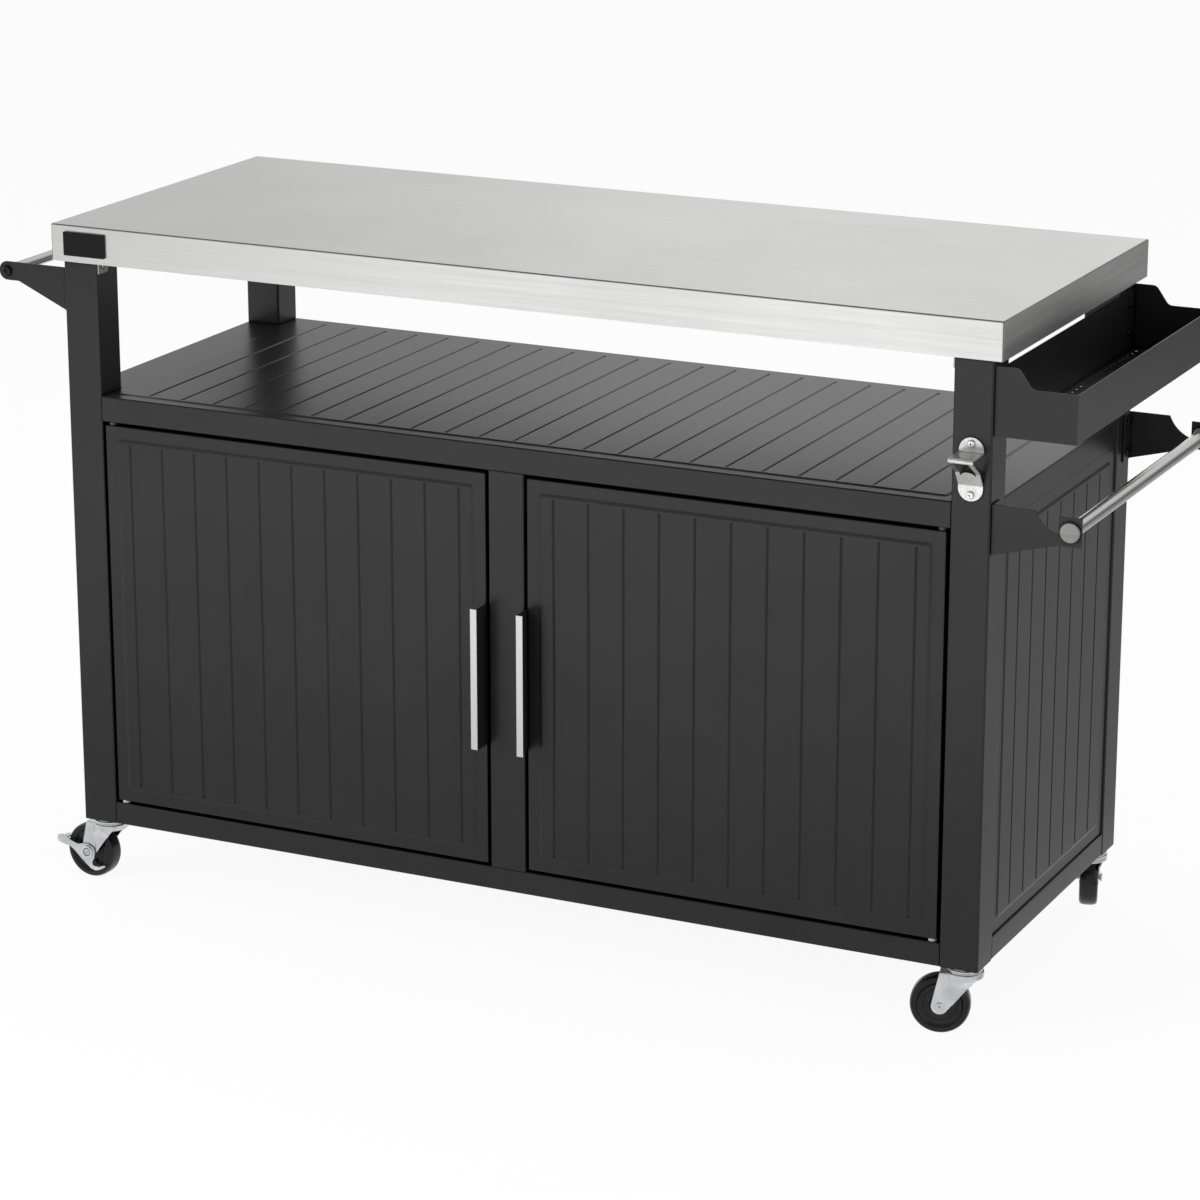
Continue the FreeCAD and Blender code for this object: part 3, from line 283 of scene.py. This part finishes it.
# Painted shade: a darker copy of the zinc plating for the worktop clips
CLIP_SHADE_PLATE = zinc("clip_shade_plate", dark=(0.24, 0.24, 0.235), light=(0.36, 0.36, 0.355), metallic=0.8)
GREY_NYLON = plastic("grey_nylon", dark=grey(0.035), light=grey(0.050), roughness=(0.4, 0.5))
OWN_FINISH = {
    "towel_bar": TUBE_STEEL,
    "towel_bar_caps": CAP_SHADE_STEEL,
    "bottle_opener": DULL_PLATE,
    "worktop_clips": CLIP_SHADE_PLATE,
    "handle_tube": TUBE_STEEL,
    "left_pull_strip": STRIP_STEEL,
    "right_pull_strip": STRIP_STEEL,
}

# A worktop face whose normal has no part as large as this lies on its rounded fold
FLAT_COSINE = 0.97


def paint(thing, material):
    """Gives every material slot of an object one material."""
    if not thing.material_slots:
        thing.data.materials.append(material)
    for slot in thing.material_slots:
        slot.material = material


def paint_faces(thing, material, chosen):
    """Gives the chosen faces of an object a second material."""
    thing.data.materials.append(material)
    index = len(thing.data.materials) - 1
    for face in thing.data.polygons:
        if chosen(face):
            face.material_index = index


def paint_nodes():
    """Gives every CAD node the finish of its slot, or its own."""
    for node, thing in frame["nodes"].items():
        paint(thing, OWN_FINISH.get(node, FINISH[SLOT_OF[node]]))


def paint_fold_shade():
    """The worktop's rounded fold gets painted shade: a darker copy of the brushed steel beside it."""
    thing = frame["nodes"]["worktop"]
    paint_faces(thing, FOLD_SHADE_STEEL, lambda face: max(abs(part) for part in face.normal) < FLAT_COSINE)


def paint_screws():
    """All wall screws but the bottle opener's are black."""
    low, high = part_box("bottle_opener")
    thing = frame["nodes"]["wall_screws"]
    place = thing.matrix_world

    def off_opener(face):
        middle = place @ face.center
        return not (low.x < middle.x < high.x and low.z < middle.z < high.z and middle.y < MIDDLE.y)

    paint_faces(thing, BLACK_ZINC, off_opener)


def paint_bushes():
    """The upper hinge bushes are dark, the lower ones of plain nylon."""
    low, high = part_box("hinge_bushes")
    thing = frame["nodes"]["hinge_bushes"]
    place = thing.matrix_world
    level = (low.z + high.z) / 2
    paint_faces(thing, GREY_NYLON, lambda face: (place @ face.center).z > level)


def grid_mesh(name, rows, closed=False):
    """A mesh through rows of points, each row as long as the next; closed joins each row's ends."""
    mesh = bmesh.new()
    grid = [[mesh.verts.new(point) for point in row] for row in rows]
    for upper, lower in zip(grid, grid[1:]):
        count = len(upper)
        for column in range(count if closed else count - 1):
            after = (column + 1) % count
            mesh.faces.new((upper[column], upper[after], lower[after], lower[column]))
    bmesh.ops.remove_doubles(mesh, verts=mesh.verts, dist=1e-7)
    data = bpy.data.meshes.new(name)
    mesh.to_mesh(data)
    mesh.free()
    return data


def change_mesh(data, change):
    """Makes one bmesh change to a mesh."""
    mesh = bmesh.new()
    mesh.from_mesh(data)
    change(mesh)
    mesh.to_mesh(data)
    mesh.free()


def lathe(name, profile, segments):
    """A turned mesh about the local Z axis through (radius, height) points."""
    turns = [2 * math.pi * step / segments for step in range(segments)]
    rows = []
    for radius, height in profile:
        rows.append([Vector((radius * math.cos(turn), radius * math.sin(turn), height)) for turn in turns])
    return grid_mesh(name, rows, closed=True)


# A rounded corner uses no more than this share of the runs beside it
ROUNDING_SHARE = 0.45


def rounded_profile(points, radius, steps):
    """Rounds the corners between a profile's two ends with short curves."""
    result = [points[0]]
    for before, corner, after in zip(points, points[1:], points[2:]):
        here = Vector(corner)
        back = Vector(before) - here
        ahead = Vector(after) - here
        cut = min(radius, back.length * ROUNDING_SHARE, ahead.length * ROUNDING_SHARE)
        start = here + back.normalized() * cut
        end = here + ahead.normalized() * cut
        for step in range(steps + 1):
            share = step / steps
            rest = 1 - share
            result.append(tuple(start * rest ** 2 + here * (2 * share * rest) + end * share ** 2))
    result.append(points[-1])
    return result


def shown(name, data, matrix, material, body, slot, *replaced, smooth=True):
    """Adds a finished piece to the scene on its body."""
    thing = bpy.data.objects.new(name, data)
    bpy.context.scene.collection.objects.link(thing)
    data.transform(matrix)
    change_mesh(data, lambda mesh: bmesh.ops.recalc_face_normals(mesh, faces=mesh.faces))
    for face in data.polygons:
        face.use_smooth = smooth
    paint(thing, material)
    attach(thing, body)
    if replaced:
        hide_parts(*replaced)
    return thing


# The CAD nodes' faces come apart at their edges, and are joined where they lie this close
WELD_REACH = 0.000001


def bevelled(thing, width, angle=35):
    """Joins a piece's faces at their edges, then rounds its sharp edges by a real width."""
    weld = thing.modifiers.new("weld", "WELD")
    weld.merge_threshold = WELD_REACH
    bevel = thing.modifiers.new("bevel", "BEVEL")
    bevel.width = width
    bevel.segments = 2
    bevel.limit_method = "ANGLE"
    bevel.angle_limit = math.radians(angle)
    bevel.harden_normals = True


# Caster, in metres about the swivel axis on the floor, its trail along +X
CORNERS = ("front_left", "front_right", "rear_left", "rear_right")
WHEEL_RADIUS = 0.0375
TRAIL = 0.029
FORK_HALF = 0.013
FORK_SHEET = 0.002
FORK_EDGE = 0.0005
CROWN_RADIUS = 0.0235
CROWN_TOP = 0.0815

# Fork arm: its edges run through (x, z) points, and its foot is cut by a hair so that they stay apart.
# It flares to the crown above and folds out along its back
ARM_INSET = 0.0006
ARM_TOP = CROWN_TOP - ARM_INSET
ARM_BACK = (-0.019, ARM_TOP)
ARM_KNEE = (-0.007, 0.066)
ARM_FRONT = (0.030, ARM_TOP)
ARM_END_RADIUS = 0.0105
ARM_FOOT_CUT = 0.00005
ARM_FOOT = WHEEL_RADIUS - ARM_END_RADIUS + ARM_FOOT_CUT
ARM_CELLS = 60
ARM_CROWDING = 1.35
FLARE_FOOT = 0.056
FOLD_DEPTH = 0.0017
FOLD_FRONT = 0.0163
FOLD_WIDTH = 0.0028
FOLD_FOOT = 0.034
FOLD_RISE = 0.016

# Bridge: the flat plate that joins the arms ahead of the round crown
BRIDGE_DEPTH = 0.0025
BRIDGE_BACK = 0.012
BRIDGE_SHOULDER = 0.0285
BRIDGE_CHAMFER = 0.002
BRIDGE_EDGE = 0.0006

# Turned forms, as (radius, height) points
CROWN_PROFILE = (
    (0.0053, 0.0792), (0.0215, 0.0792), (0.0220, 0.0745), (0.0235, 0.0745), (0.0235, 0.0815),
    (0.0214, 0.0821), (0.0212, 0.0842), (0.0226, 0.0846), (0.0226, 0.0868), (0.0053, 0.0870),
    (0.0053, 0.0792),
)
# One side of the wheel from its hub to the middle of its tread, with the height from its middle plane
WHEEL_SIDE = (
    (0.0042, 0.0127), (0.0095, 0.0127), (0.0115, 0.0118), (0.0135, 0.0092), (0.0200, 0.0085),
    (0.0202, 0.0090), (0.0214, 0.0090), (0.0216, 0.0084), (0.0262, 0.0082), (0.0285, 0.0104),
    (0.0296, 0.0120), (0.0322, 0.0120), (0.0324, 0.0113), (0.0334, 0.0113), (0.0336, 0.0116),
    (0.0352, 0.0112), (0.0370, 0.0080), (0.0374, 0.0040), (WHEEL_RADIUS, 0),
)
# The axle's two heads, with the height from the face that each sits on
AXLE_HEAD = (
    (0, 0.0005), (0.0013, 0.0005), (0.0020, 0.0017), (0.0036, 0.0017), (0.0048, 0.0007), (0.0048, 0),
)
AXLE_TAIL = ((0.0060, 0), (0.0060, 0.0012), (0.0046, 0.0026), (0, 0.0026))
AXLE_RADIUS = 0.0039
ARM_FACE = 0.0151
LEVER_FACE = 0.0176
HUB_PROFILE = (
    (0.0053, 0.0174), (0.0053, 0.0187), (0.0066, 0.0196), (0.0086, 0.0190), (0.0096, 0.0174),
    (0.0053, 0.0174),
)


def centre_of(node):
    """The middle of a node's box."""
    low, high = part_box(node)
    return (Vector(low) + Vector(high)) / 2


def caster_matrix(corner):
    """Carries the caster's own frame to its place under a leg."""
    leg = centre_of("leg_" + corner)
    hub = centre_of("wheel_" + corner)
    angle = math.atan2(hub.y - leg.y, hub.x - leg.x)
    return Matrix.Translation((leg.x, leg.y, 0)) @ Matrix.Rotation(angle, 4, "Z")


def on_axle(matrix, quarter_turn):
    """Lays a turned form's Z axis along the axle, one way or the other by the quarter turn's sign."""
    turn = Matrix.Rotation(math.radians(90 * quarter_turn), 4, "X")
    return matrix @ Matrix.Translation((TRAIL, 0, WHEEL_RADIUS)) @ turn


def line_at(first, second, height):
    """Where a slanting edge between two (x, z) points is at a height."""
    share = (height - first[1]) / (second[1] - first[1])
    return first[0] + (second[0] - first[0]) * share


def touch_point(outside, side):
    """Where the edge from an outside point meets the round end of the fork arm."""
    centre = Vector((TRAIL, WHEEL_RADIUS))
    reach = Vector(outside) - centre
    bearing = math.atan2(reach.y, reach.x) - side * math.acos(ARM_END_RADIUS / reach.length)
    return (centre.x + ARM_END_RADIUS * math.cos(bearing), centre.y + ARM_END_RADIUS * math.sin(bearing))


def arm_edges(height):
    """The fork arm's two edges at a height, as the x of its back and of its front."""
    knee_touch = touch_point(ARM_KNEE, -1)
    front_touch = touch_point(ARM_FRONT, 1)
    bulge = math.sqrt(max(ARM_END_RADIUS ** 2 - (height - WHEEL_RADIUS) ** 2, 0))
    if height > ARM_KNEE[1]:
        back = line_at(ARM_BACK, ARM_KNEE, height)
    elif height > knee_touch[1]:
        back = line_at(ARM_KNEE, knee_touch, height)
    else:
        back = TRAIL - bulge
    if height > front_touch[1]:
        front = line_at(ARM_FRONT, front_touch, height)
    else:
        front = TRAIL + bulge
    return back, front


def soft_step(value):
    """A smooth 0 to 1 step."""
    value = min(max(value, 0), 1)
    return value * value * (3 - 2 * value)


def arm_reach(x, height):
    """How far out the arm's inner face is: flat by the wheel, flared above, folded at its back."""
    if abs(x) >= CROWN_RADIUS:
        rim = 0
    else:
        rim = math.sqrt(CROWN_RADIUS ** 2 - x * x) - FORK_SHEET
    flare = max(rim - FORK_HALF, 0) * soft_step((height - FLARE_FOOT) / (CROWN_TOP - FLARE_FOOT))
    fold = FOLD_DEPTH * soft_step((FOLD_FRONT - x) / FOLD_WIDTH)
    fold = fold * soft_step((height - FOLD_FOOT) / FOLD_RISE)
    return FORK_HALF + max(flare, fold)


def fork_arm(side):
    """One stamped arm of the fork as a sheet, with its rows crowded towards its round foot."""
    rows = []
    for level in range(ARM_CELLS + 1):
        share = level / ARM_CELLS
        height = ARM_FOOT + (ARM_TOP - ARM_FOOT) * share ** ARM_CROWDING
        back, front = arm_edges(height)
        row = []
        for column in range(ARM_CELLS + 1):
            x = back + (front - back) * column / ARM_CELLS
            row.append(Vector((x, side * arm_reach(x, height), height)))
        rows.append(row)
    return grid_mesh("arm", rows)


def bridge_mesh():
    """The fork's bridge as a closed plate with two chamfered corners."""
    half = FORK_HALF + FORK_SHEET
    front = ARM_FRONT[0]
    near = [(BRIDGE_BACK, -half), (BRIDGE_SHOULDER, -half), (front, -half + BRIDGE_CHAMFER)]
    far = [(x, -y) for x, y in reversed(near)]
    rows = []
    for height in (CROWN_TOP - BRIDGE_DEPTH, CROWN_TOP):
        rows.append([Vector((x, y, height)) for x, y in near + far])
    data = grid_mesh("bridge", rows, closed=True)
    change_mesh(data, lambda mesh: bmesh.ops.holes_fill(mesh, edges=mesh.edges))
    return data


def add_fork(corner, matrix):
    """The zinc fork: two stamped arms, the turned crown with its skirt and race, and the bridge."""
    body = "swivel_" + corner
    coat = FINISH["zinc"]
    for side, word in ((-1, "near"), (1, "far")):
        name = "fork_arm_%s_%s" % (word, corner)
        arm = shown(name, fork_arm(side), matrix, coat, body, "zinc")
        sheet = arm.modifiers.new("sheet", "SOLIDIFY")
        sheet.thickness = FORK_SHEET
        sheet.offset = side
        bevelled(arm, FORK_EDGE)
    crown = lathe("crown", rounded_profile(CROWN_PROFILE, radius=0.0007, steps=4), segments=96)
    shown("fork_crown_" + corner, crown, matrix, coat, body, "zinc", "fork_" + corner)
    bridge = shown("fork_bridge_" + corner, bridge_mesh(), matrix, coat, body, "zinc", smooth=False)
    bevelled(bridge, BRIDGE_EDGE)


def add_wheel(corner, matrix):
    """The moulded wheel: crowned tread, stepped side rings and a raised hub, turned as one."""
    other_side = tuple((radius, -height) for radius, height in reversed(WHEEL_SIDE[:-1]))
    whole = WHEEL_SIDE + other_side + WHEEL_SIDE[:1]
    data = lathe("wheel", rounded_profile(whole, radius=0.0006, steps=3), segments=128)
    shown("tyre_" + corner, data, on_axle(matrix, 1), FINISH["wheel_plastic"], "wheel_" + corner,
          "wheel_plastic", "wheel_" + corner)


def add_axle(corner, matrix, braked):
    """The riveted axle: a low dished head outside, and on a braked caster a raised hub on the lever."""
    face = LEVER_FACE if braked else ARM_FACE
    profile = [(radius, face + height) for radius, height in AXLE_HEAD]
    profile += [(AXLE_RADIUS, face), (AXLE_RADIUS, -ARM_FACE)]
    profile += [(radius, -ARM_FACE - height) for radius, height in AXLE_TAIL]
    pin = lathe("pin", rounded_profile(profile, radius=0.0005, steps=3), segments=48)
    place = on_axle(matrix, -1)
    shown("axle_pin_" + corner, pin, place, FINISH["zinc"], "swivel_" + corner, "zinc", "axle_" + corner)
    if braked:
        hub = lathe("hub", rounded_profile(HUB_PROFILE, radius=0.0008, steps=4), segments=64)
        shown("brake_hub_" + corner, hub, place, FINISH["zinc"], "brake_" + corner, "zinc")


def add_casters():
    """The detailed forks, wheels and axles of all four casters."""
    for corner in CORNERS:
        matrix = caster_matrix(corner)
        add_fork(corner, matrix)
        add_wheel(corner, matrix)
        add_axle(corner, matrix, "brake_" + corner in frame["nodes"])


# Widths of the rounded edges; the pressed sheets' flatter steps are rounded too
PLATE_EDGE = 0.0009
STAMPED_EDGE = 0.0005
TUBE_EDGE = 0.0006
PRESSED_EDGE = 0.0004
PRESSED_ANGLE = 18
STAMPED = (
    "towel_bracket_front", "towel_bracket_rear", "handle_bracket_front", "handle_bracket_rear",
    "bottle_opener", "left_door_pull", "right_door_pull", "brake_front_left", "brake_rear_left",
    "centre_post",
)
PRESSED = ("left_door", "right_door", "shelf_panel", "side_panel_left", "side_panel_right", "back_panel")


def soften_edges():
    """Rounds the folded and stamped CAD nodes' edges."""
    nodes = frame["nodes"]
    bevelled(nodes["blank_plate"], PLATE_EDGE)
    for node in STAMPED:
        bevelled(nodes[node], STAMPED_EDGE)
    for node, thing in nodes.items():
        if node.startswith(("top_rail", "bottom_rail")):
            bevelled(thing, TUBE_EDGE)
    for node in PRESSED:
        bevelled(nodes[node], PRESSED_EDGE, angle=PRESSED_ANGLE)


# The stage: a white floor, a white world, cards that only show in gloss and metal, and three lamps
WHITE = (1, 1, 1, 1)
FLOOR_PALE = 0.93
FLOOR_HALF = 30.0
WORLD_LIGHT = 0.45
CARD_LIFT = 0.004

# Cards: name, lowest and highest corner from the middle of the legs, brightness
CARDS = [
    ("card_front", (-9, -8, 0.4), (9, -8, 6), 0.62),
    ("card_above", (-7, -8, 6), (7, 3, 6), 0.48),
    ("card_right", (0.9, 3.0, 0), (3.4, 3.0, 1.3), 0.25),
    ("card_floor_right", (0.72, -0.25, CARD_LIFT), (3.2, 2.95, CARD_LIFT), 0.52),
    ("card_back_left", (-9, 6, 0), (-3.9, 6, 6), 0.78),
    ("card_back_middle", (-3.9, 6, 0), (-3.1, 6, 6), 0.90),
    ("card_back_right", (-3.1, 6, 0), (3, 6, 6), 1.08),
    # Painted shadow: the floor cards are darkest near the cart, where its shadow falls, and pale ahead;
    # they show only in reflections
    ("card_floor_near_shadow", (-1.6, -0.95, CARD_LIFT), (1.2, -0.27, CARD_LIFT), 0.78),
    ("card_floor_middle", (-1.8, -1.65, CARD_LIFT), (1.0, -0.95, CARD_LIFT), 1.12),
    ("card_floor_far", (-2.2, -2.6, CARD_LIFT), (1.0, -1.65, CARD_LIFT), 1.70),
]
# A row of equal cards on the floor further ahead, from the left, one for each brightness
AHEAD_LEFT = -3.6
AHEAD_WIDTH = 0.95
AHEAD_NEAR = -2.6
AHEAD_FAR = -5.4
AHEAD_LEVELS = (0.58, 1.70, 2.20, 2.30)

# Lamps: name, place from the middle of the legs, size, watts; all point at the cart's middle
LAMPS = (
    ("key", (-2.6, -3.6, 2.6), (1.6, 1.6), 120),
    ("fill", (3.6, -2.0, 1.8), (2.5, 2.5), 40),
    ("top", (0.0, 0.6, 4.0), (3.0, 2.5), 60),
)
AIM_HEIGHT = 0.5


def seen(tree):
    """1 for rays from the camera, from gloss and through glass, else 0."""
    rays = tree.add("ShaderNodeLightPath").outputs
    either = tree.compute("MAXIMUM", rays["Is Camera Ray"], rays["Is Glossy Ray"])
    return tree.compute("MAXIMUM", either, rays["Is Transmission Ray"])


def floor_material():
    """A pale floor that shows white to the camera and in reflections, and keeps its shadows."""
    tree = material_nodes("floor")
    share = tree.compute("MULTIPLY", seen(tree), FLOOR_PALE)
    matt = tree.add("ShaderNodeBsdfDiffuse", {"Color": (*grey(FLOOR_PALE), 1)})
    glow = tree.add("ShaderNodeEmission", {"Color": WHITE, "Strength": 1.0})
    both = {0: share, 1: matt.outputs[0], 2: glow.outputs[0]}
    return tree.surface(tree.add("ShaderNodeMixShader", both))


def add_panel(name, corners, material):
    """A flat four-cornered piece of the stage."""
    mesh = bpy.data.meshes.new(name)
    mesh.from_pydata(corners, [], [(0, 1, 2, 3)])
    panel = bpy.data.objects.new(name, mesh)
    bpy.context.scene.collection.objects.link(panel)
    paint(panel, material)
    return panel


def add_floor():
    """A wide floor under the wheels."""
    half = FLOOR_HALF
    corners = [(-half, -half, 0), (half, -half, 0), (half, half, 0), (-half, half, 0)]
    add_panel("floor", corners, floor_material())


def add_world():
    """Even light from all round, and white to the camera and in reflections."""
    world = bpy.data.worlds.new("world")
    bpy.context.scene.world = world
    tree = Nodes(world, "ShaderNodeOutputWorld")
    strength = tree.spread(seen(tree), low=WORLD_LIGHT, high=1.0, start=0, end=1)
    tree.surface(tree.add("ShaderNodeBackground", {"Color": WHITE, "Strength": strength}))


def add_card(name, low, high, level):
    """A card between two corners that only shows in gloss and metal, as round a product in a studio."""
    corners = [
        (low[0], low[1], low[2]),
        (high[0], low[1], low[2]),
        (high[0], high[1], high[2]),
        (low[0], high[1], high[2]),
    ]
    tree = material_nodes(name)
    glow = tree.surface(tree.add("ShaderNodeEmission", {"Color": (*grey(level), 1), "Strength": 1.0}))
    card = add_panel(name, [MIDDLE + Vector(corner) for corner in corners], glow)
    card.visible_camera = False
    card.visible_diffuse = False
    card.visible_shadow = False
    card.visible_transmission = False
    card.visible_volume_scatter = False


def add_cards():
    """Greys ahead, overhead and at the right, pale ones behind, and floor cards with a painted shadow near
    the cart that pales ahead.
    """
    for name, low, high, level in CARDS:
        add_card(name, low, high, level)
    for step, level in enumerate(AHEAD_LEVELS):
        left = AHEAD_LEFT + AHEAD_WIDTH * step
        low = (left, AHEAD_FAR, CARD_LIFT)
        high = (left + AHEAD_WIDTH, AHEAD_NEAR, CARD_LIFT)
        add_card("card_floor_ahead_%d" % step, low, high, level)


def add_lamps():
    """A large key from the front left, a soft fill from the right and one from above."""
    target = MIDDLE + Vector((0, 0, AIM_HEIGHT))
    for name, offset, size, power in LAMPS:
        data = bpy.data.lights.new(name, "AREA")
        data.shape = "RECTANGLE"
        data.size, data.size_y = size
        data.energy = power
        lamp = bpy.data.objects.new(name, data)
        bpy.context.scene.collection.objects.link(lamp)
        place = MIDDLE + Vector(offset)
        aim = (target - place).normalized()
        lamp.matrix_world = Matrix.Translation(place) @ aim.to_track_quat("-Z", "Y").to_matrix().to_4x4()
        lamp.visible_glossy = False


paint_nodes()
paint_fold_shade()
paint_screws()
paint_bushes()
add_casters()
soften_edges()
add_camera()
add_floor()
add_world()
add_cards()
add_lamps()
bpy.context.scene.view_settings.view_transform = "Standard"
